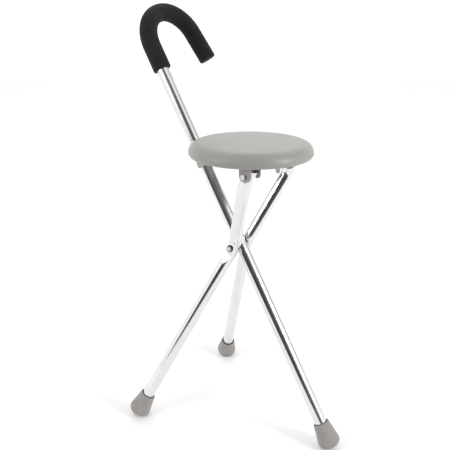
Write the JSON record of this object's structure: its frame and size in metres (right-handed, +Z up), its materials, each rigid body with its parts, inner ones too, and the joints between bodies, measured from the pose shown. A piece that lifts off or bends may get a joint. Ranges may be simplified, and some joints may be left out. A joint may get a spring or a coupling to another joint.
{
  "type": "walking stick seat",
  "caption": "Folding walking stick with a round seat: a long crook-handled tube and dog-leg side legs cross on one bolt, the seat is pinned to the legs and forks onto the stick.",
  "frame": {"origin": "on the floor, under the middle of the bounding box, in the middle plane of the object", "axes": "+Z up; -Y to the front, where the long tube's foot is; +X to the right leg, which is also the side the crook is turned to; the hub bolt and the seat pins run along X"},
  "size_m": [0.3148, 0.4684, 0.7556],
  "materials": {
    "tube": "polished",
    "foam": "closed-cell foam, matte",
    "seat_plastic": "moulded, fine satin",
    "bracket_paint": "dark grey paint, satin",
    "fastener": "zinc-plated, bright",
    "black_nylon": "moulded nylon",
    "plug_plastic": "moulded",
    "ferrule_rubber": "grey moulded rubber, matte"
  },
  "bodies": {
    "stick": {"main_tube": "tube", "grip_sleeve": "foam", "hub_bolt": "fastener", "hub_nut": "fastener", "hub_spacers": "black_nylon", "hub_washers": "black_nylon", "ferrule_main": "ferrule_rubber", "ferrule_disc_main": "fastener"},
    "left_leg": {"leg_left": "tube", "leg_plug_left": "plug_plastic", "ferrule_left": "ferrule_rubber", "ferrule_disc_left": "fastener"},
    "right_leg": {"leg_right": "tube", "leg_plug_right": "plug_plastic", "ferrule_right": "ferrule_rubber", "ferrule_disc_right": "fastener"},
    "seat": {"seat_shell": "seat_plastic", "bracket_left": "bracket_paint", "bracket_right": "bracket_paint", "tube_fork": "bracket_paint", "side_tab": "fastener", "bracket_screws": "fastener", "pin_bolts": "fastener", "pin_nuts": "fastener"}
  },
  "joints": [
    {"name": "left_leg_fold", "type": "hinge", "parent": "stick", "child": "left_leg", "pos_m": [-0.0212, -0.0167, 0.3455], "axis": [-1, 0, 0], "range_deg": [0, 53.55]},
    {"name": "right_leg_fold", "type": "hinge", "parent": "stick", "child": "right_leg", "pos_m": [0.0212, -0.0167, 0.3455], "axis": [-1, 0, 0], "range_deg": [0, 53.55]},
    {"name": "seat_fold", "type": "hinge", "parent": "left_leg", "child": "seat", "pos_m": [-0.0645, -0.0785, 0.49471], "axis": [1, 0, 0], "range_deg": [0, 112.5]}
  ],
  "couplings": [
    {"joint": "right_leg_fold", "follows": "left_leg_fold", "ratio": 1},
    {"joint": "seat_fold", "follows": "left_leg_fold", "ratio": 2.1008}
  ]
}
